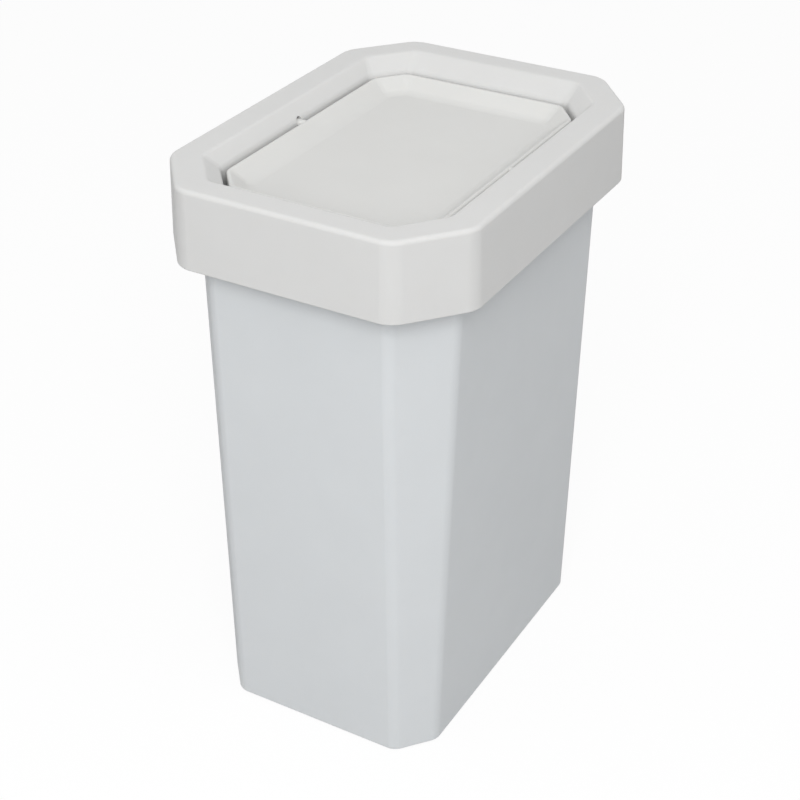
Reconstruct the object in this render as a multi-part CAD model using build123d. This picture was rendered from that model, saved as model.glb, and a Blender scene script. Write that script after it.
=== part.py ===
from build123d import *

import os
from collections import namedtuple
from math import atan2, cos, hypot, radians, tan

os.makedirs("parts", exist_ok=True)

# Small kitchen bin with a lift-off swing lid, in three polypropylene mouldings.
# All lengths are millimetres and all angles degrees. +Z is up, X runs across the bin and is
# the way of the flap's pivot, Y runs along it. The origin is the middle of the underside.
#
# Every level of every piece has the same kind of outline: a rectangle with its four corners
# cut off and the eight corners that remain rounded. The cut is the length that a corner loses
# across the bin, and along the bin it loses corner_slant times that, so the same cut faces of
# all outlines are parallel. Leaning walls run straight from one outline to another.
Outline = namedtuple("Outline", "width depth cut radius")
Walls = namedtuple("Walls", "low low_height high high_height")

corner_slant = 1.2

# ---- Bin: a tapered container ------------------------------------------------------------
bin_height = 198.0
bin_wall = 1.8
bin_floor = 2.0
base_width = 83.9
base_depth = 125.8
base_cut = 10.2
mouth_width = 93.6
mouth_depth = 132.2
mouth_cut = 15.0
bin_corner_radius = 5.5
floor_blend = 3.0
foot_ring_width = 4.0
foot_ring_height = 1.0

# The top of the wall steps outwards over a ledge, hidden by the lid's skirt, and ends in a
# flat flange. The overhangs say how far the flange stands out from the wall below the ledge.
rim_zone_height = 18.0
rim_side_overhang = 4.3
rim_end_overhang = 4.2
rim_corner_overhang = 5.5
flange_overhang = 2.0
flange_thickness = 2.0
flange_edge_radius = 0.6
ledge_edge_radius = 1.0

# ---- Lid frame: skirt outside, flat rim, a surround that slopes down to the throat, collar
lid_wall = 2.0
lid_clearance = 0.5
skirt_height = 26.3
skirt_flare = 0.7
rim_face_side = 9.6
rim_face_end = 9.3
rim_face_corner = 9.35
slope_height = 5.0
slope_side = 4.6
slope_end = 6.9
slope_corner = 5.95
slope_radius = 5.5
throat_radius = 3.5
collar_wall = 1.6
collar_depth = 14.0
collar_draft = 2.0
rim_outer_edge_radius = 1.5
rim_inner_edge_radius = 2.0

# ---- Swing flap: a shallow dish that hangs on two stub pins ------------------------------
flap_gap = 2.2
flap_corner_gap = 3.0
flap_corner_radius = 4.0
flap_recess = 5.25
flap_wall = 1.8
lip_width = 1.2
dish_depth = 4.75
dish_slope_width = 5.5
dish_corner_radius = 6.5
dish_floor_blend = 5.5
edge_height = 4.5
edge_wall = 1.6
rib_wall = 1.3
rib_height = 4.0
rib_spacing = 34.0

# ---- Pivot: stub pins of the flap in slots of the collar ---------------------------------
pivot_depth = 6.4
pin_radius = 1.4
pin_clearance = 0.08
pin_tip_recess = 0.3
pin_tip_chamfer = 0.4
slot_rise = 0.8
bearing_pad_margin = 2.6
bearing_pad_thickness = 0.9
lead_in_depth = 0.8

# ---- What follows from them --------------------------------------------------------------
BEYOND = 5.0
lid_top = bin_height + lid_wall
pivot_height = lid_top - pivot_depth
lip_height = lid_top - flap_recess
throat_height = lid_top - slope_height
collar_bottom = lid_top - collar_depth
collar_inset = (throat_height - collar_bottom) * tan(radians(collar_draft))


def moved(outline, side, end, corner, radius):
    """The outline with its sides, its ends and its corner faces moved outwards."""
    width = outline.width + 2 * side
    depth = outline.depth + 2 * end
    corner_end = corner * hypot(1, corner_slant)
    cut = outline.cut + side + (end - corner_end) / corner_slant
    return Outline(width, depth, cut, radius)


def inset(outline, distance):
    """The outline moved inwards all round by a distance, or outwards by a negative one."""
    radius = max(outline.radius - distance, 0.5)
    return moved(outline, -distance, -distance, -distance, radius)


def corners(outline, height):
    """The eight sharp corners of an outline at a height, in order round it."""
    x = outline.width / 2
    y = outline.depth / 2
    x_flat = x - outline.cut
    y_flat = y - outline.cut * corner_slant
    half = [(x, -y_flat), (x, y_flat), (x_flat, y), (-x_flat, y)]
    return [(px, py, height) for px, py in half] + [(-px, -py, height) for px, py in half]


def polygon(points):
    """A flat face between points."""
    return make_face(Polyline(*points, close=True)).face()


def prism(outline, bottom, top):
    """A solid with upright walls and rounded corners."""
    sharp = polygon(corners(outline, bottom))
    rounded = fillet(sharp.vertices(), outline.radius)
    return extrude(rounded, top - bottom, dir=(0, 0, 1))


def outline_at(walls, height):
    """The outline of leaning walls at a height, which may lie past their ends."""
    share = (height - walls.low_height) / (walls.high_height - walls.low_height)
    sizes = [start + (end - start) * share for start, end in zip(walls.low, walls.high)]
    return Outline(*sizes)


def inset_walls(walls, distance):
    """Leaning walls moved inwards by a distance, or outwards by a negative one."""
    low = inset(walls.low, distance)
    high = inset(walls.high, distance)
    return Walls(low, walls.low_height, high, walls.high_height)


def tapered(walls, bottom, top):
    """A solid inside leaning walls, between two heights, with its corners rounded."""
    low = corners(outline_at(walls, bottom), bottom)
    high = corners(outline_at(walls, top), top)
    faces = [polygon(low), polygon(high)]
    for i in range(len(low)):
        faces.append(polygon([low[i - 1], low[i], high[i], high[i - 1]]))
    sharp = Solid(Shell(faces))
    leaning_edges = sharp.edges().filter_by(Plane.XY, reverse=True)
    return fillet(leaning_edges, walls.high.radius)


# ---- Bin ---------------------------------------------------------------------------------
base_outline = Outline(base_width, base_depth, base_cut, bin_corner_radius)
mouth_outline = Outline(mouth_width, mouth_depth, mouth_cut, bin_corner_radius)
rim_outline = moved(
    mouth_outline, rim_side_overhang, rim_end_overhang, rim_corner_overhang, bin_corner_radius
)
rim_wall_outline = inset(rim_outline, flange_overhang)
ledge_bottom = bin_height - rim_zone_height
ledge_top = ledge_bottom + bin_wall
bin_walls = Walls(base_outline, 0, mouth_outline, ledge_bottom)


def make_bin():
    """Container with a foot ring, a ledge, a stepped-out rim and a flange."""
    rim_zone = prism(rim_wall_outline, ledge_bottom, bin_height)
    rim_zone = fillet(rim_zone.edges().group_by(Axis.Z)[0], ledge_edge_radius)
    flange = prism(rim_outline, bin_height - flange_thickness, bin_height)
    flange = fillet(flange.edges().group_by(Axis.Z)[0], flange_edge_radius)
    flange = fillet(flange.edges().group_by(Axis.Z)[-1], flange_edge_radius)
    body = tapered(bin_walls, 0, ledge_top) + rim_zone + flange

    floor_top = foot_ring_height + bin_floor
    inner_walls = inset_walls(bin_walls, bin_wall)
    inside = tapered(inner_walls, floor_top, ledge_top + BEYOND)
    blend = min(floor_blend, 0.9 * inner_walls.high.radius)
    inside = fillet(inside.edges().group_by(Axis.Z)[0], blend)
    rim_room = prism(inset(rim_wall_outline, bin_wall), ledge_top, bin_height + BEYOND)
    foot_hollow = prism(inset(base_outline, foot_ring_width), 0, foot_ring_height)
    return body - inside - rim_room - foot_hollow


# ---- Lid frame ---------------------------------------------------------------------------
skirt_outline = inset(rim_outline, -(lid_clearance + lid_wall))
skirt_bottom = lid_top - skirt_height
skirt_walls = Walls(inset(skirt_outline, -skirt_flare), skirt_bottom, skirt_outline, lid_top)
lid_mouth_outline = moved(
    skirt_outline, -rim_face_side, -rim_face_end, -rim_face_corner, slope_radius
)
throat_outline = moved(lid_mouth_outline, -slope_side, -slope_end, -slope_corner, throat_radius)
slope_walls = Walls(throat_outline, throat_height, lid_mouth_outline, lid_top)
collar_foot_outline = inset(throat_outline, collar_inset)
collar_walls = Walls(collar_foot_outline, collar_bottom, throat_outline, throat_height)
collar_face_at_pivot = outline_at(collar_walls, pivot_height).width / 2
pad_face = collar_face_at_pivot + collar_wall + bearing_pad_thickness
slot_radius = pin_radius + pin_clearance

# The surround's underside lies one wall below its top, measured square to the corner slopes.
surround_drop = lid_wall / cos(atan2(slope_height, slope_corner))
under_slope_walls = Walls(
    throat_outline, throat_height - surround_drop, lid_mouth_outline, lid_top - surround_drop
)


def mouth_space():
    """The room inside the collar and above the sloping surround."""
    room = tapered(collar_walls, collar_bottom - BEYOND, throat_height)
    return room + tapered(slope_walls, throat_height, lid_top + BEYOND)


def slot_profile(half_width, low, high):
    """A slot seen along the pivot: straight sides between a low and a high round end."""
    middle = (low + high) / 2
    length = high - low + 2 * half_width
    upright = Pos(0, middle) * SlotOverall(length, 2 * half_width, rotation=90)
    return Plane.YZ * upright


def cut_bearing(frame, side):
    """Bearing pad, slot and lead-in groove for one stub pin."""
    pad_half_width = slot_radius + bearing_pad_margin
    pad_profile = slot_profile(pad_half_width, pivot_height, pivot_height + slot_rise)
    pad = extrude(pad_profile, side * pad_face)
    frame += pad - mouth_space()

    slot = slot_profile(slot_radius, pivot_height, pivot_height + slot_rise)
    frame -= extrude(slot, side * (pad_face + BEYOND))

    groove_height = pivot_height - collar_bottom + BEYOND
    groove_middle = pivot_height - groove_height / 2
    groove_reach = collar_face_at_pivot + lead_in_depth
    groove = Box(groove_reach, 2 * slot_radius, groove_height)
    return frame - Pos(side * groove_reach / 2, 0, groove_middle) * groove


def make_lid_frame():
    """Skirt, rim, sloping surround and collar, with a bearing in each long wall."""
    skirt = tapered(skirt_walls, skirt_bottom, lid_top)
    skirt = fillet(skirt.edges().group_by(Axis.Z)[-1], rim_outer_edge_radius)
    hollow_walls = inset_walls(skirt_walls, lid_wall)
    hollow = tapered(hollow_walls, skirt_bottom - BEYOND, lid_top - lid_wall)
    surround_bottom = under_slope_walls.low_height
    surround = tapered(under_slope_walls, surround_bottom, lid_top - lid_wall / 2)
    collar = tapered(inset_walls(collar_walls, -collar_wall), collar_bottom, throat_height)
    frame = skirt - hollow + surround + collar - mouth_space()
    rim_face = frame.faces().sort_by(Axis.Z)[-1]
    mouth_edges = rim_face.inner_wires()[0].edges()
    frame = fillet(mouth_edges, rim_inner_edge_radius)
    for side in (-1, 1):
        frame = cut_bearing(frame, side)
    return frame


# ---- Swing flap --------------------------------------------------------------------------
mouth_at_lip = outline_at(collar_walls, lip_height)
flap_outline = moved(mouth_at_lip, -flap_gap, -flap_gap, -flap_corner_gap, flap_corner_radius)
dish_outline = moved(flap_outline, -lip_width, -lip_width, -lip_width, dish_corner_radius)
dish_floor_outline = inset(dish_outline, dish_slope_width)
dish_floor_height = lip_height - dish_depth
dish_walls = Walls(dish_floor_outline, dish_floor_height, dish_outline, lip_height)

# The underside of the dish's slope lies one wall below its top, measured square to it.
slope_angle = atan2(dish_depth, dish_slope_width)
slope_drop = flap_wall / cos(slope_angle)
under_walls = Walls(
    dish_floor_outline, dish_floor_height - slope_drop, dish_outline, lip_height - slope_drop
)
under_floor = dish_floor_height - flap_wall


def make_pin(side):
    """One stub pin, which points outwards from the turned-down edge."""
    root = flap_outline.width / 2 - edge_wall / 2
    tip = pad_face - pin_tip_recess
    pin = Cylinder(pin_radius, tip - root, rotation=(0, side * 90, 0))
    pin = chamfer(pin.edges().sort_by(Axis.X)[-1 if side > 0 else 0], pin_tip_chamfer)
    return Pos(side * (tip + root) / 2, 0, pivot_height) * pin


def make_ribs():
    """Stiffening ribs across and along the underside of the dish."""
    rib_bottom = under_floor - rib_height
    height = lip_height - rib_bottom
    ribs = Box(flap_outline.width, rib_wall, height)
    for side in (-1, 1):
        ribs += Pos(side * rib_spacing / 2, 0, 0) * Box(rib_wall, flap_outline.depth, height)
    edge_middle = inset(flap_outline, edge_wall / 2)
    edge_bottom = lip_height - edge_height
    rib_ends = Walls(outline_at(under_walls, under_floor), rib_bottom, edge_middle, edge_bottom)
    room = tapered(rib_ends, rib_bottom, lip_height) & prism(edge_middle, rib_bottom, lip_height)
    return (Pos(0, 0, (lip_height + rib_bottom) / 2) * ribs) & room


def make_swing_flap():
    """Dished flap with a turned-down edge, ribs underneath and two stub pins."""
    edge_bottom = lip_height - edge_height
    edge_ring = prism(flap_outline, edge_bottom, lip_height)
    edge_ring -= prism(inset(flap_outline, edge_wall), edge_bottom, lip_height)
    tub = tapered(under_walls, under_floor, lip_height)
    tub &= prism(flap_outline, under_floor, lip_height)
    dish = tapered(dish_walls, dish_floor_height, lip_height + BEYOND)
    dish = fillet(dish.edges().group_by(Axis.Z)[0], dish_floor_blend)
    flap = edge_ring + tub + make_ribs() - dish
    for side in (-1, 1):
        flap += make_pin(side)
    return flap


export_step(make_bin(), "parts/bin.step")
export_step(make_lid_frame(), "parts/lid_frame.step")
export_step(make_swing_flap(), "parts/swing_flap.step")
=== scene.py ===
# %% [markdown]
# # A small kitchen bin with a swing lid
# The bin stands on a worktop and is made of three white polypropylene mouldings: a tapered
# container, a lid frame that sits over its rim, and a dished flap that hangs in the frame on
# two stub pins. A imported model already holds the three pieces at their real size, with their
# joints. It is loaded first, as a fixed frame, and everything made here is placed by it.

# %% Load the frame
import math
from collections import namedtuple

import bmesh
import bpy
from mathutils import Matrix, Vector


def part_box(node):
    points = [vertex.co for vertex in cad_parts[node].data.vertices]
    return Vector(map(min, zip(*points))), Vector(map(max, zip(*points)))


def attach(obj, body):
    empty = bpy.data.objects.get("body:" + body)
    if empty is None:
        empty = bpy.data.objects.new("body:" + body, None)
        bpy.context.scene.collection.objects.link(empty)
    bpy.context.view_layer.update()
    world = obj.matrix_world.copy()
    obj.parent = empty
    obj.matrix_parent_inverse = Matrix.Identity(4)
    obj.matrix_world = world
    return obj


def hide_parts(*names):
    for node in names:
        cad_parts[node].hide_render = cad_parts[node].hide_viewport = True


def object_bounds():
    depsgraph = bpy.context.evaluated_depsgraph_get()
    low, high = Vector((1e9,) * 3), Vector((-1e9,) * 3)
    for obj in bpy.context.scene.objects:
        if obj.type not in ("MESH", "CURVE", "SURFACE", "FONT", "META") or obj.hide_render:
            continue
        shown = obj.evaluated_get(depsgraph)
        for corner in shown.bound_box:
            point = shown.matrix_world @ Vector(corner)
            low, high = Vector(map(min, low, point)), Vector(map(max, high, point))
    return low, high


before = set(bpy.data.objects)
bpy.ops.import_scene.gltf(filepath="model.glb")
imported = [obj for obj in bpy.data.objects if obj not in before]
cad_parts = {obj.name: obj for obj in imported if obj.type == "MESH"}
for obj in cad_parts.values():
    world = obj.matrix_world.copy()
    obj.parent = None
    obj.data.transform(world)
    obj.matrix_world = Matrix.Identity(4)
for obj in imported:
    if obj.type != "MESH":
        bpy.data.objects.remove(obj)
cad_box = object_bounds()
MM = 0.001
print("whole bin, mm:", [round(side / MM, 1) for side in cad_box[1] - cad_box[0]])

# %% [markdown]
# ## Sizes
# The heights, and how far the flap's pins reach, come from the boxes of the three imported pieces.
# What a box can't say, such as a wall's thickness or the width of the rim, is named in
# millimetres, at its real size, just before the piece that it belongs to. Small edges with no
# name of their own share three roundings, because a mould is cut with few sizes of cutter.

# %% Heights read from the frame
bin_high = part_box("bin")[1]
lid_low, lid_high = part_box("lid_frame")
bin_height = bin_high.z / MM
lid_top = lid_high.z / MM
skirt_bottom = lid_low.z / MM
print("heights, mm:", [round(value, 2) for value in (bin_height, skirt_bottom, lid_top)])

# %% Roundings that the mouldings share
fine_edge = 0.3
inside_edge = 0.4
underside_edge = 0.6
print("shared roundings, mm:", fine_edge, inside_edge, underside_edge)

# %% [markdown]
# ## Outlines
# Every level of every piece has the same kind of outline: a rectangle whose corners are cut
# off, with the eight corners that remain rounded. Along the bin a corner loses 1.2 times what
# it loses across it. Four numbers say it all, and a wall's inside follows from its outside by
# moving the outline inwards. Writing outlines this way, instead of placing vertices one by
# one, keeps every wall evenly thick.

# %% Outlines and how they move
Outline = namedtuple("Outline", "width depth cut radius")
CORNER_SLANT = 1.2
SMALLEST_RADIUS = 0.5


def moved(outline, side, end, corner, radius):
    """The outline with sides, ends and corner faces moved outwards, and with a new radius."""
    width = outline.width + 2 * side
    depth = outline.depth + 2 * end
    corner_end = corner * math.hypot(1, CORNER_SLANT)
    cut = outline.cut + side + (end - corner_end) / CORNER_SLANT
    return Outline(width, depth, cut, radius)


def inset(outline, distance):
    """The outline moved inwards all round, or outwards by a negative distance."""
    radius = max(outline.radius - distance, SMALLEST_RADIUS)
    return moved(outline, -distance, -distance, -distance, radius)


def between(low, high, share):
    """The outline at a share of the way from one outline to another."""
    return Outline(*[start + (end - start) * share for start, end in zip(low, high)])


# %% [markdown]
# ## A shell made of rings
# Each moulding is a thin wall that goes round an eight-sided opening, so it can be built like
# a barrel: rings of edges are placed at the heights where the wall changes direction, and
# neighbouring rings are bridged with faces. A cube with its corners cut would need boolean
# cuts for the inside. Rings give the outside, the rim and the inside in one run, with clean
# four-sided faces that a bevel can round evenly. Two rings at one height can confuse the
# bridge tool, so the rings are first stacked like a tower, and each is moved to its own
# height once it is bridged.

# %% Choosing what to work on
def activate(piece):
    """Makes one piece the only selected one, and the active one."""
    bpy.ops.object.select_all(action="DESELECT")
    bpy.context.view_layer.objects.active = piece
    piece.select_set(True)


def choose(piece, kind, wanted):
    """Selects the vertices or edges for which wanted is true, and nothing else."""
    bpy.ops.mesh.select_mode(type={"verts": "VERT", "edges": "EDGE"}[kind])
    bpy.ops.mesh.select_all(action="DESELECT")
    mesh = bmesh.from_edit_mesh(piece.data)
    for element in getattr(mesh, kind):
        element.select_set(wanted(element))
    bmesh.update_edit_mesh(piece.data)


# %% One ring of a shell
RING = "ring"
STACK_STEP = 10.0
CORNER_STEPS = 8
SIDE_TURN = math.atan2(1, CORNER_SLANT)
END_TURN = math.atan2(CORNER_SLANT, 1)
NEARLY = 0.01  # a vertex this near a place, in millimetres, counts as on it


def add_ring(piece, number, outline):
    """Adds a rounded eight-sided loop of edges to the stack and numbers its vertices."""
    bpy.ops.mesh.select_all(action="DESELECT")
    height = number * STACK_STEP * MM
    below = height - STACK_STEP / 2 * MM
    centre = (0, 0, height)
    # The plane is squashed before its corners are cut and stretched after, so the cut slants.
    size = (outline.width * MM, outline.depth / CORNER_SLANT * MM, 1)
    bpy.ops.mesh.primitive_plane_add(size=1, location=centre)
    bpy.ops.transform.resize(value=size, center_override=centre)
    bpy.ops.mesh.bevel(offset=outline.cut * MM, affect="VERTICES")
    bpy.ops.transform.resize(value=(1, CORNER_SLANT, 1), center_override=centre)
    for axis, reach, turn in ((0, outline.width, SIDE_TURN), (1, outline.depth, END_TURN)):
        edge = (reach / 2 - NEARLY) * MM
        rounding = outline.radius * math.tan(turn / 2) * MM
        choose(piece, "verts", lambda v: v.co.z > below and abs(v.co[axis]) > edge)
        bpy.ops.mesh.bevel(offset=rounding, segments=CORNER_STEPS, affect="VERTICES")
    mesh = bmesh.from_edit_mesh(piece.data)
    layer = mesh.verts.layers.int[RING]
    for vertex in mesh.verts:
        if vertex.co.z > below:
            vertex[layer] = number
    bpy.ops.mesh.select_all(action="SELECT")
    bpy.ops.mesh.delete(type="ONLY_FACE")


def choose_rings(piece, *numbers):
    """Selects the edges that run along the rings with these numbers."""
    layer = bmesh.from_edit_mesh(piece.data).verts.layers.int[RING]

    def along(edge):
        start, end = (vertex[layer] for vertex in edge.verts)
        return start == end and start in numbers

    choose(piece, "edges", along)


# %% A whole shell
Level = namedtuple("Level", "outline height edge")
EDGE_STEPS = 5


def make_shell(name, levels, capped):
    """A closed shell through rings. Capped ends get a face, and others meet each other."""
    bpy.ops.object.select_all(action="DESELECT")
    bpy.ops.mesh.primitive_plane_add(size=1)
    piece = bpy.context.object
    piece.name = name
    bpy.ops.object.mode_set(mode="EDIT")
    bpy.ops.mesh.delete(type="VERT")
    bmesh.from_edit_mesh(piece.data).verts.layers.int.new(RING)
    numbers = range(1, len(levels) + 1)
    for number, level in zip(numbers, levels):
        add_ring(piece, number, level.outline)
    for number in numbers[1:]:
        choose_rings(piece, number - 1, number)
        bpy.ops.mesh.bridge_edge_loops()
    if capped:
        for number in (numbers[0], numbers[-1]):
            choose_rings(piece, number)
            bpy.ops.mesh.edge_face_add()
    else:
        choose_rings(piece, numbers[0], numbers[-1])
        bpy.ops.mesh.bridge_edge_loops()
    for number, level in zip(numbers, levels):
        choose_rings(piece, number)
        shift = (level.height - number * STACK_STEP) * MM
        bpy.ops.transform.translate(value=(0, 0, shift))
    for number, level in zip(numbers, levels):
        if level.edge:
            choose_rings(piece, number)
            bpy.ops.mesh.bevel(offset=level.edge * MM, segments=EDGE_STEPS, affect="EDGES")
    bpy.ops.mesh.select_all(action="SELECT")
    bpy.ops.mesh.normals_make_consistent(inside=False)
    bpy.ops.object.mode_set(mode="OBJECT")
    print(name, "has", len(piece.data.polygons), "faces")
    return piece


# %% [markdown]
# ## The container
# The real one is injection moulded: the wall leans out by one or two degrees so that it comes
# off the mould, a foot ring keeps the floor off the worktop, and under the lid the wall steps
# out over a ledge to a flange that stiffens the rim. The profile is listed once, from the
# middle of the underside, up the outside, over the flange and down to the floor inside.

# %% Sizes of the container
base_outline = Outline(width=83.9, depth=125.8, cut=10.2, radius=5.5)
mouth_outline = Outline(width=93.6, depth=132.2, cut=15.0, radius=5.5)
bin_wall = 1.8
floor_top = 3.0
floor_blend = 3.0
foot_ring_width = 4.0
foot_ring_height = 1.0
foot_edge = 0.5
rim_zone_height = 18.0
ledge_edge = 1.0
flange_step_side = 4.3  # how far the flange stands out past the wall under the ledge
flange_step_end = 4.2
flange_step_corner = 5.5
flange_overhang = 2.0
flange_thickness = 2.0
flange_edge = 0.6

ledge_bottom = bin_height - rim_zone_height
side_lean = math.atan2((mouth_outline.width - base_outline.width) / 2, ledge_bottom)
print("the long sides lean out by", round(math.degrees(side_lean), 2), "degrees")

# %% Container
ledge_top = ledge_bottom + bin_wall
flange_bottom = bin_height - flange_thickness
rim_outline = moved(
    mouth_outline, flange_step_side, flange_step_end, flange_step_corner, mouth_outline.radius
)
rim_wall_outline = inset(rim_outline, flange_overhang)
rim_room_outline = inset(rim_wall_outline, bin_wall)
foot_hollow_outline = inset(base_outline, foot_ring_width)
floor_level = between(base_outline, mouth_outline, floor_top / ledge_bottom)
ledge_level = between(base_outline, mouth_outline, ledge_top / ledge_bottom)

container = make_shell(
    "container",
    [
        Level(foot_hollow_outline, foot_ring_height, fine_edge),
        Level(foot_hollow_outline, 0, fine_edge),
        Level(base_outline, 0, foot_edge),
        Level(mouth_outline, ledge_bottom, fine_edge),
        Level(rim_wall_outline, ledge_bottom, ledge_edge),
        Level(rim_wall_outline, flange_bottom, fine_edge),
        Level(rim_outline, flange_bottom, flange_edge),
        Level(rim_outline, bin_height, flange_edge),
        Level(rim_room_outline, bin_height, inside_edge),
        Level(rim_room_outline, ledge_top, inside_edge),
        Level(inset(ledge_level, bin_wall), ledge_top, inside_edge),
        Level(inset(floor_level, bin_wall), floor_top, floor_blend),
    ],
    capped=True,
)

# %% [markdown]
# ## The lid frame
# This is the moulding that takes the most skill. It is a channel that goes all the way round:
# a skirt outside, a flat rim on top, a surround that slopes down to the throat and a short
# collar under it, which the flap's pins turn in. Its profile is a closed loop, so the last
# ring is bridged to the first.

# %% Sizes of the lid frame
lid_wall = 2.0
lid_clearance = 0.5
skirt_flare = 0.7
skirt_foot_edge = 0.45
rim_face_side = 10.1
rim_face_end = 9.3
rim_face_corner = 9.9
rim_outer_edge = 1.5
rim_inner_edge = 0.8
slope_height = 5.0
slope_side = 3.7
slope_end = 6.9
slope_corner = 5.4
lid_mouth_radius = 4.0
throat_radius = 3.7
throat_edge = 1.2
collar_wall = 1.6
collar_depth = 14.0
collar_draft = 2.0
print("skirt's height, mm:", round(lid_top - skirt_bottom, 1))

# %% Outlines of the lid frame
plate_bottom = lid_top - lid_wall
throat_height = lid_top - slope_height
collar_bottom = lid_top - collar_depth
skirt_outline = inset(rim_outline, -(lid_clearance + lid_wall))
skirt_foot_outline = inset(skirt_outline, -skirt_flare)
lid_mouth_outline = moved(
    skirt_outline, -rim_face_side, -rim_face_end, -rim_face_corner, lid_mouth_radius
)
throat_outline = moved(lid_mouth_outline, -slope_side, -slope_end, -slope_corner, throat_radius)
collar_lean = math.tan(math.radians(collar_draft))
collar_foot_outline = inset(throat_outline, (throat_height - collar_bottom) * collar_lean)

# The surround's underside lies one wall below its top, measured square to the corner slopes.
surround_drop = lid_wall / math.cos(math.atan2(slope_height, slope_corner))
collar_top = throat_height - surround_drop + collar_wall * slope_height / slope_corner
past_mouth = 1 + (surround_drop - lid_wall) / slope_height
under_rim_outline = between(throat_outline, lid_mouth_outline, past_mouth)
print("skirt", skirt_outline)
print("mouth", lid_mouth_outline)
print("throat", throat_outline)

# %% Lid frame: skirt, rim, surround and collar
rim_and_skirt = make_shell(
    "rim_and_skirt",
    [
        Level(inset(skirt_foot_outline, lid_wall), skirt_bottom, skirt_foot_edge),
        Level(skirt_foot_outline, skirt_bottom, skirt_foot_edge),
        Level(skirt_outline, lid_top, rim_outer_edge),
        Level(lid_mouth_outline, lid_top, rim_inner_edge),
        Level(throat_outline, throat_height, throat_edge),
        Level(collar_foot_outline, collar_bottom, fine_edge),
        Level(inset(collar_foot_outline, -collar_wall), collar_bottom, fine_edge),
        Level(inset(throat_outline, -collar_wall), collar_top, fine_edge),
        Level(under_rim_outline, plate_bottom, inside_edge),
        Level(inset(skirt_outline, lid_wall), plate_bottom, underside_edge),
    ],
    capped=False,
)

# %% [markdown]
# ## Bearings for the flap
# The flap's stub pins turn in a slot in the middle of each long collar wall. A pad behind the
# wall makes it thicker there, and a groove under the slot lets the pin slide up until it
# snaps in. Such a local feature is simplest as a tool shape that is joined or cut out with a
# boolean, as a toolmaker would add it to the mould. The pads are trimmed first, so that none
# of them shows through the sloping surround.

# %% Tool shapes and booleans
BAR_SIDES = 48


def combine(piece, tool, operation):
    """Joins a tool shape to a piece, cuts it out or keeps what both fill."""
    modifier = piece.modifiers.new(operation, "BOOLEAN")
    modifier.operation = operation
    modifier.object = tool
    modifier.solver = "EXACT"
    activate(piece)
    bpy.ops.object.modifier_apply(modifier=modifier.name)
    bpy.data.objects.remove(tool)


def add_bar(inner_x, outer_x, radius, low, high):
    """A bar along X, rounded below its low axis and above its high one."""
    middle = ((inner_x + outer_x) / 2 * MM, 0, low * MM)
    length = abs(outer_x - inner_x) * MM
    turned = (0, math.radians(90), 0)
    bpy.ops.object.select_all(action="DESELECT")
    bpy.ops.mesh.primitive_cylinder_add(
        vertices=BAR_SIDES, radius=radius * MM, depth=length, location=middle, rotation=turned
    )
    bpy.ops.object.transform_apply(location=True, rotation=True, scale=True)
    bar = bpy.context.object
    bpy.ops.object.mode_set(mode="EDIT")
    above = (low + NEARLY) * MM
    choose(bar, "verts", lambda vertex: vertex.co.z > above)
    bpy.ops.transform.translate(value=(0, 0, (high - low) * MM))
    bpy.ops.object.mode_set(mode="OBJECT")
    return bar


def add_block(low, high):
    """A block between two corners, given in millimetres."""
    low, high = Vector(low) * MM, Vector(high) * MM
    bpy.ops.object.select_all(action="DESELECT")
    bpy.ops.mesh.primitive_cube_add(size=1, location=(low + high) / 2, scale=high - low)
    bpy.ops.object.transform_apply(location=True, rotation=True, scale=True)
    return bpy.context.object


# %% Sizes of the pins and their bearings
pivot_depth = 6.4
pin_radius = 1.4
pin_clearance = 0.08
slot_rise = 0.8
bearing_pad_margin = 2.6
bearing_pad_thickness = 0.9
lead_in_depth = 0.8
beyond = 4.0  # how far a tool shape reaches past what it cuts

pivot_height = lid_top - pivot_depth
slot_radius = pin_radius + pin_clearance
slot_top = pivot_height + slot_rise
pad_radius = slot_radius + bearing_pad_margin
collar_face = throat_outline.width / 2 - (throat_height - pivot_height) * collar_lean
pad_face = collar_face + collar_wall + bearing_pad_thickness
groove_reach = collar_face + lead_in_depth
print("pivot at", round(pivot_height, 2), "mm, its pads out to", round(pad_face, 2), "mm")

# %% Pads, slots and lead-in grooves
trim_levels = [
    Level(throat_outline, throat_height - lid_wall / 2, 0),
    Level(lid_mouth_outline, lid_top - lid_wall / 2, 0),
]
for side in (-1, 1):
    pad_start = side * (collar_face + collar_wall / 2)
    pad = add_bar(pad_start, side * pad_face, pad_radius, pivot_height, slot_top)
    combine(pad, make_shell("pad_trim", trim_levels, capped=True), "DIFFERENCE")
    combine(rim_and_skirt, pad, "UNION")
    slot_ends = (side * (collar_face - beyond), side * (pad_face + beyond))
    slot = add_bar(*slot_ends, slot_radius, pivot_height, slot_top)
    combine(rim_and_skirt, slot, "DIFFERENCE")
    near, far = sorted((side * (collar_face - beyond), side * groove_reach))
    groove_low = (near, -slot_radius, collar_bottom - beyond)
    groove = add_block(groove_low, (far, slot_radius, pivot_height))
    combine(rim_and_skirt, groove, "DIFFERENCE")
print("rim_and_skirt has", len(rim_and_skirt.data.polygons), "faces")

# %% [markdown]
# ## The flap
# Its top is a shallow dish: a flat floor, sloping sides and a narrow flat lip that follows
# the throat, with a gap between them. The edge is turned down for stiffness, and thin ribs
# cross the underside. The shell is one run of rings again, from the floor's top, out over the
# lip and back under the slope. The ribs are blocks, cut to what lies under the dish.

# %% Sizes of the flap
flap_gap_side = 1.8
flap_gap_end = 2.2
flap_gap_corner = 1.6
flap_corner_radius = 4.0
flap_recess = 5.25
flap_wall = 1.8
lip_width = 1.2
lip_inner_edge = 0.35
lip_outer_edge = 0.7
dish_depth = 4.75
dish_slope_width = 5.5
dish_corner_radius = 3.6
dish_floor_edge = 2.0
edge_height = 4.5
edge_wall = 1.6

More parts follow.
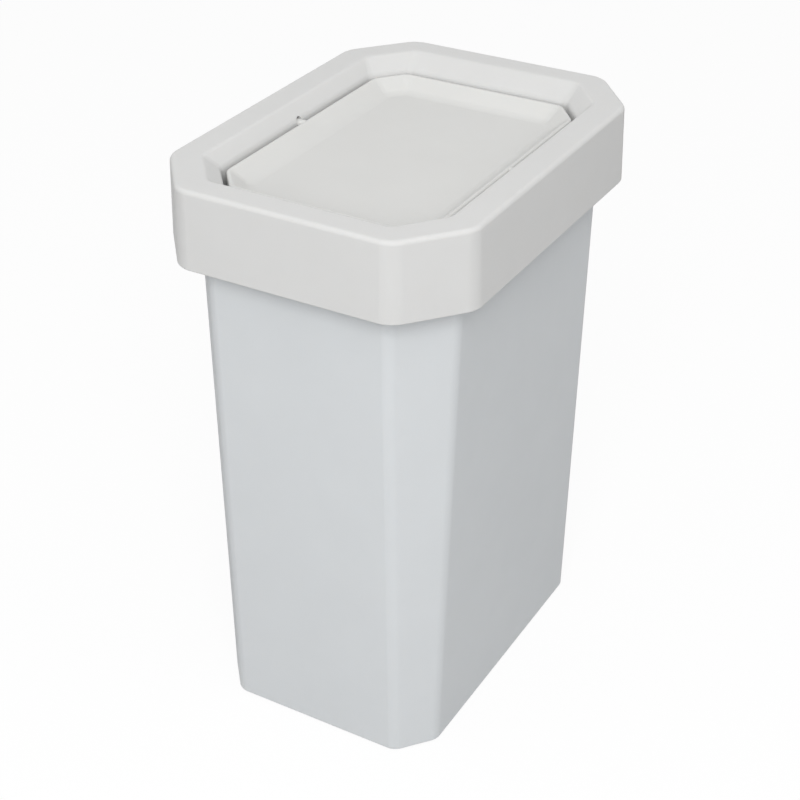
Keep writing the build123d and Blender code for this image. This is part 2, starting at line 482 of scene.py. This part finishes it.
slope_angle = math.atan2(dish_depth, dish_slope_width)
print("the dish slopes by", round(math.degrees(slope_angle), 1), "degrees")

# %% Flap: dish, lip and turned-down edge
lip_height = lid_top - flap_recess
edge_bottom = lip_height - edge_height
dish_floor_height = lip_height - dish_depth
corner_shift = flap_wall * math.tan(slope_angle / 2)

flap_outline = moved(
    throat_outline, -flap_gap_side, -flap_gap_end, -flap_gap_corner, flap_corner_radius
)
dish_outline = inset(flap_outline, lip_width)._replace(radius=dish_corner_radius)
dish_floor_outline = inset(dish_outline, dish_slope_width)._replace(radius=dish_corner_radius)
under_floor_outline = inset(dish_floor_outline, -corner_shift)
inner_edge_outline = inset(flap_outline, edge_wall)
under_slope_width = (inner_edge_outline.width - under_floor_outline.width) / 2
under_floor = dish_floor_height - flap_wall
under_slope_top = under_floor + under_slope_width * math.tan(slope_angle)

flap = make_shell(
    "flap",
    [
        Level(dish_floor_outline, dish_floor_height, dish_floor_edge),
        Level(dish_outline, lip_height, lip_inner_edge),
        Level(flap_outline, lip_height, lip_outer_edge),
        Level(flap_outline, edge_bottom, fine_edge),
        Level(inner_edge_outline, edge_bottom, fine_edge),
        Level(inner_edge_outline, under_slope_top, inside_edge),
        Level(under_floor_outline, under_floor, underside_edge),
    ],
    capped=True,
)

# %% Room for the ribs
rib_wall = 1.3
rib_height = 4.0
rib_spacing = 34.0

rib_bottom = under_floor - rib_height
edge_middle = inset(flap_outline, edge_wall / 2)
half_slope_drop = flap_wall / math.cos(slope_angle) / 2
rib_room = make_shell(
    "rib_room",
    [
        Level(dish_floor_outline, dish_floor_height - half_slope_drop, 0),
        Level(dish_outline, lip_height - half_slope_drop, 0),
        Level(edge_middle, lip_height - half_slope_drop, 0),
        Level(edge_middle, edge_bottom, 0),
        Level(under_floor_outline, rib_bottom, 0),
    ],
    capped=True,
)

# %% Ribs underneath: one across and two along
half_width = flap_outline.width / 2
half_depth = flap_outline.depth / 2
low = rib_bottom - beyond
ribs = add_block((-half_width, -rib_wall / 2, low), (half_width, rib_wall / 2, lip_height))
for side in (-1, 1):
    near = side * rib_spacing / 2 - rib_wall / 2
    far = near + rib_wall
    lengthwise = add_block((near, -half_depth, low), (far, half_depth, lip_height))
    combine(ribs, lengthwise, "UNION")
combine(ribs, rib_room, "INTERSECT")
combine(flap, ribs, "UNION")
print("flap with ribs has", len(flap.data.polygons), "faces")

# %% [markdown]
# ## Stub pins
# A pin stands out from the turned-down edge in the middle of each long side, as far as on the
# packed flap. The pins lie above the flap's centre of gravity, which is what swings it back
# level. The end of a pin is rounded off, so that it spreads the collar as it is pushed in.

# %% Pins
pin_tip_edge = 0.4
PIN_TIP_STEPS = 2

pin_root = half_width - edge_wall / 2
tip_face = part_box("swing_flap")[1].x / MM
near_tip = (tip_face - NEARLY) * MM
for side in (-1, 1):
    pin = add_bar(side * pin_root, side * tip_face, pin_radius, pivot_height, pivot_height)
    bpy.ops.object.mode_set(mode="EDIT")
    choose(pin, "edges", lambda edge: min(side * v.co.x for v in edge.verts) > near_tip)
    bpy.ops.mesh.bevel(offset=pin_tip_edge * MM, segments=PIN_TIP_STEPS, affect="EDGES")
    bpy.ops.object.mode_set(mode="OBJECT")
    combine(flap, pin, "UNION")
print("pins reach out to", round(tip_face, 2), "mm on each side")

# %% [markdown]
# ## Soft shading
# A moulding has no razor edges: even where two faces meet at a right angle there is a tiny
# radius that catches the light. Most edges were rounded as rings. Smooth shading by angle
# blends the roundings, and weighted normals keep the large flat faces flat.

# %% Finish a piece and hand it to the frame
SMOOTH_UNDER = math.radians(32)
WELD = 0.002  # vertices nearer than this, in millimetres, become one


def finish_piece(piece, node, name):
    """Cleans and shades a piece, and puts it in the place of its node."""
    activate(piece)
    bpy.ops.object.mode_set(mode="EDIT")
    bpy.ops.mesh.select_all(action="SELECT")
    bpy.ops.mesh.remove_doubles(threshold=WELD * MM)
    bpy.ops.mesh.normals_make_consistent(inside=False)
    bpy.ops.object.mode_set(mode="OBJECT")
    bpy.ops.object.shade_smooth_by_angle(angle=SMOOTH_UNDER)
    modifier = piece.modifiers.new("flat faces stay flat", "WEIGHTED_NORMAL")
    modifier.keep_sharp = True
    bpy.ops.object.modifier_apply(modifier=modifier.name)
    piece.name = name
    low = Vector(map(min, zip(*[vertex.co for vertex in piece.data.vertices])))
    high = Vector(map(max, zip(*[vertex.co for vertex in piece.data.vertices])))
    node_low, node_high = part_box(node)
    off = max((low - node_low).length, (high - node_high).length) / MM
    print(name, "stands for", node, "and its box is off by", round(off, 3), "mm")
    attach(piece, node)
    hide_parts(node)


finish_piece(container, "bin", "moulded_bin")
finish_piece(rim_and_skirt, "lid_frame", "moulded_lid_frame")
finish_piece(flap, "swing_flap", "moulded_flap")

# %% [markdown]
# ## Colours and nodes
# Colours are written as the hex values that a paint program shows. Blender works with linear
# light, so one function converts them. One more function adds a node with its settings and
# its links, so a material reads like a list.

# %% Helpers for materials
def linear(hex_colour):
    """An sRGB hex colour as linear RGBA, by the curve of the sRGB standard."""
    channels = [int(hex_colour[i : i + 2], 16) / 255 for i in (1, 3, 5)]
    bright = [((c + 0.055) / 1.055) ** 2.4 if c > 0.04045 else c / 12.92 for c in channels]
    return (*bright, 1.0)


def add_node(tree, kind, inputs=None, **settings):
    """Adds a node, sets it up, and fills or links the inputs that are named."""
    made = tree.nodes.new(kind)
    for name, value in settings.items():
        setattr(made, name, value)
    for name, value in (inputs or {}).items():
        if isinstance(value, bpy.types.NodeSocket):
            tree.links.new(value, made.inputs[name])
        else:
            made.inputs[name].default_value = value
    return made


def new_material(name):
    """An empty node material and its tree."""
    material = bpy.data.materials.new(name)
    material.use_nodes = True
    material.node_tree.nodes.clear()
    return material, material.node_tree


# %% [markdown]
# ## Moulded polypropylene
# All three mouldings are polypropylene, pigmented white and moulded in a finely etched steel
# tool. To the eye that is a satin white: highlights are broad and soft, the surface has a
# grain much finer than a millimetre, and the wall is a little cloudy because light enters it.
# A plain diffuse colour would look like paper, so the material gets a soft gloss, a little
# light that travels under the skin, the grain as bump, and slow changes in tone and gloss
# where the plastic flowed and cooled unevenly.

# %% Satin polypropylene
POLYPROPYLENE_IOR = 1.49
ETCHED_SPECULAR = 0.2  # under the usual 0.5, because the etched skin mirrors little light
ROUGHNESS_LOW = 0.52
ROUGHNESS_HIGH = 0.62
CLOUD_MM = 18.0  # size of the faint clouds in tone and gloss
GRAIN_MM = 0.5  # the etched grain is about 0.1 mm; drawn coarser so that it shows at all
GRAIN_HEIGHT_MM = 0.01
GRAIN_STRENGTH = 0.35
FLOW_MM = 45.0  # how far apart the slow waves of the flowing plastic lie
FLOW_HEIGHT_MM = 0.15
FLOW_STRENGTH = 0.5
SKIN_LIGHT_SHARE = 0.4  # how much of the light goes under the skin
SKIN_LIGHT_MM = 1.5  # and how far it travels there
SKIN_LIGHT_REACH = (1.0, 0.95, 0.9)  # red travels a little further than blue


def per_metre(size_mm):
    """The scale of a noise whose features are that many millimetres wide."""
    return 1 / (size_mm * MM)


def polypropylene(name, tone, cloudy_tone):
    """Pigmented polypropylene from an etched tool: satin, slightly cloudy, fine-grained."""
    material, tree = new_material(name)
    place = add_node(tree, "ShaderNodeTexCoord").outputs["Object"]
    clouds = add_node(
        tree, "ShaderNodeTexNoise", {"Vector": place, "Scale": per_metre(CLOUD_MM), "Detail": 3.0}
    )
    grain = add_node(
        tree, "ShaderNodeTexNoise", {"Vector": place, "Scale": per_metre(GRAIN_MM), "Detail": 2.0}
    )
    flow = add_node(
        tree, "ShaderNodeTexNoise", {"Vector": place, "Scale": per_metre(FLOW_MM), "Detail": 1.0}
    )
    colour = add_node(
        tree,
        "ShaderNodeMix",
        {"Factor": clouds.outputs["Fac"], "A": linear(tone), "B": linear(cloudy_tone)},
        data_type="RGBA",
    )
    gloss = add_node(
        tree,
        "ShaderNodeMapRange",
        {"Value": clouds.outputs["Fac"], "To Min": ROUGHNESS_LOW, "To Max": ROUGHNESS_HIGH},
    )
    waves = add_node(
        tree,
        "ShaderNodeBump",
        {
            "Height": flow.outputs["Fac"],
            "Strength": FLOW_STRENGTH,
            "Distance": FLOW_HEIGHT_MM * MM,
        },
    )
    surface = add_node(
        tree,
        "ShaderNodeBump",
        {
            "Height": grain.outputs["Fac"],
            "Strength": GRAIN_STRENGTH,
            "Distance": GRAIN_HEIGHT_MM * MM,
            "Normal": waves.outputs["Normal"],
        },
    )
    shader = add_node(
        tree,
        "ShaderNodeBsdfPrincipled",
        {
            "Base Color": colour.outputs["Result"],
            "Roughness": gloss.outputs["Result"],
            "IOR": POLYPROPYLENE_IOR,
            "Specular IOR Level": ETCHED_SPECULAR,
            "Subsurface Weight": SKIN_LIGHT_SHARE,
            "Subsurface Radius": SKIN_LIGHT_REACH,
            "Subsurface Scale": SKIN_LIGHT_MM * MM,
            "Normal": surface.outputs["Normal"],
        },
    )
    add_node(tree, "ShaderNodeOutputMaterial", {"Surface": shader.outputs["BSDF"]})
    return material


def paint(piece_name, material):
    """Gives a piece its only material."""
    slots = bpy.data.objects[piece_name].data.materials
    slots.clear()
    slots.append(material)
    print(piece_name, "is", material.name)


paint("moulded_bin", polypropylene("cool_white_polypropylene", "#DADDDF", "#D6D9DB"))
paint("moulded_lid_frame", polypropylene("white_polypropylene", "#DADAD9", "#D6D6D5"))
paint("moulded_flap", polypropylene("flap_white_polypropylene", "#DBDBD9", "#D7D7D5"))

# %% [markdown]
# ## Floor and surroundings
# The bin stands in a white studio. The floor really receives light, so that it throws some
# back at the bin and keeps a faint shadow, but to the camera it is mostly its own plain white.
# It throws back less than a white floor would, because the sides of the bin stay darker than
# its top.

# %% What is seen, and not only lit
def seen_rays(tree):
    """A socket that is 1 for rays that show a surface, also by gloss or through glass, else 0."""
    rays = add_node(tree, "ShaderNodeLightPath").outputs
    either = {0: rays["Is Camera Ray"], 1: rays["Is Glossy Ray"]}
    either = add_node(tree, "ShaderNodeMath", either, operation="MAXIMUM").outputs[0]
    any_of_them = {0: either, 1: rays["Is Transmission Ray"]}
    return add_node(tree, "ShaderNodeMath", any_of_them, operation="MAXIMUM").outputs[0]


# %% White floor
FLOOR_SIZE = 12.0  # metres
FLOOR_DROP_MM = 0.2  # a hair below the foot ring, so that the two faces don't fight
PLAIN_SHARE = 0.88  # the rest of what shows is lit, so it keeps a faint shadow
THROWN_BACK = "#A9A9A9"  # what the bin gets back from the floor
WHITE = "#FFFFFF"


def white_floor():
    """A floor that is plain white to the camera, with a faint shadow left in it."""
    material, tree = new_material("studio_floor_white")
    thrown_back = add_node(tree, "ShaderNodeBsdfDiffuse", {"Color": linear(THROWN_BACK)})
    lit = add_node(tree, "ShaderNodeBsdfDiffuse", {"Color": linear(WHITE)})
    plain = add_node(tree, "ShaderNodeEmission", {"Color": linear(WHITE), "Strength": 1.0})
    looks = {0: PLAIN_SHARE, 1: lit.outputs[0], 2: plain.outputs[0]}
    shown = add_node(tree, "ShaderNodeMixShader", looks)
    both = {0: seen_rays(tree), 1: thrown_back.outputs[0], 2: shown.outputs[0]}
    mixed = add_node(tree, "ShaderNodeMixShader", both)
    add_node(tree, "ShaderNodeOutputMaterial", {"Surface": mixed.outputs[0]})
    return material


bpy.ops.object.select_all(action="DESELECT")
bpy.ops.mesh.primitive_plane_add(size=FLOOR_SIZE, location=(0, 0, -FLOOR_DROP_MM * MM))
floor = bpy.context.object
floor.name = "studio_floor"
floor.data.materials.append(white_floor())
print("floor is", FLOOR_SIZE, "m wide")

# %% White surroundings
AMBIENT = 0.68  # the even light that reaches every side of the bin
world = bpy.data.worlds.new("white_studio")
bpy.context.scene.world = world
world.use_nodes = True
tree = world.node_tree
tree.nodes.clear()
ambient = add_node(tree, "ShaderNodeBackground", {"Color": linear(WHITE), "Strength": AMBIENT})
backdrop = add_node(tree, "ShaderNodeBackground", {"Color": linear(WHITE), "Strength": 1.0})
both = {0: seen_rays(tree), 1: ambient.outputs[0], 2: backdrop.outputs[0]}
mixed = add_node(tree, "ShaderNodeMixShader", both)
add_node(tree, "ShaderNodeOutputWorld", {"Surface": mixed.outputs[0]})
print("surroundings light the bin with", AMBIENT, "of white")

# %% [markdown]
# ## Light
# The faces that look to the front are the brightest, the long side is a little darker, and
# no shadow is hard. That is one large soft light behind the camera, over the even light of
# the white surroundings.

# %% Soft key light
KEY_AZIMUTH = 28  # degrees to the right of the front
KEY_ELEVATION = 34
KEY_DISTANCE = 1.3  # metres, as is the size
KEY_SIZE = 0.7
KEY_WATTS = 9.1


def direction(azimuth, elevation):
    """The direction from the bin to a thing. Azimuth 0 is in front, and 90 on the right."""
    turn, rise = math.radians(azimuth), math.radians(elevation)
    return Vector(
        (math.sin(turn) * math.cos(rise), -math.cos(turn) * math.cos(rise), math.sin(rise))
    )


middle = (cad_box[0] + cad_box[1]) / 2
to_key = direction(KEY_AZIMUTH, KEY_ELEVATION)
softbox = bpy.data.lights.new("key_softbox", "AREA")
softbox.energy = KEY_WATTS
softbox.size = KEY_SIZE
key_light = bpy.data.objects.new("key_softbox", softbox)
bpy.context.scene.collection.objects.link(key_light)
key_light.location = middle + to_key * KEY_DISTANCE
key_light.rotation_euler = to_key.to_track_quat("Z", "Y").to_euler()
print("key light, m:", [round(value, 2) for value in key_light.location])

# %% [markdown]
# ## Camera
# The photograph was taken from above, over one corner, with a long lens. The angles, the
# distance and the lens were worked out from the bin's straight edges.

# %% Camera
LENS_PIXELS = 1684.7  # focal length in pixels of the photograph
PHOTO_PIXELS = 800
CAMERA_AZIMUTH = 29.864
CAMERA_ELEVATION = 31.835
CAMERA_ROLL = -0.06
CAMERA_PLACE = Vector((247.45, -434.02, 408.74)) * MM

optics = bpy.data.cameras.new("camera")
optics.sensor_width = 36.0
optics.lens = LENS_PIXELS * optics.sensor_width / PHOTO_PIXELS
optics.clip_start = 0.01
optics.clip_end = 20
camera = bpy.data.objects.new("camera", optics)
bpy.context.scene.collection.objects.link(camera)
camera.location = CAMERA_PLACE
forward = -direction(CAMERA_AZIMUTH, CAMERA_ELEVATION)
roll = Matrix.Rotation(math.radians(CAMERA_ROLL), 3, "Z")
camera.rotation_euler = (forward.to_track_quat("-Z", "Y").to_matrix() @ roll).to_euler()
bpy.context.scene.camera = camera
bpy.context.scene.view_settings.view_transform = "Standard"
print("lens, mm:", round(optics.lens, 2))
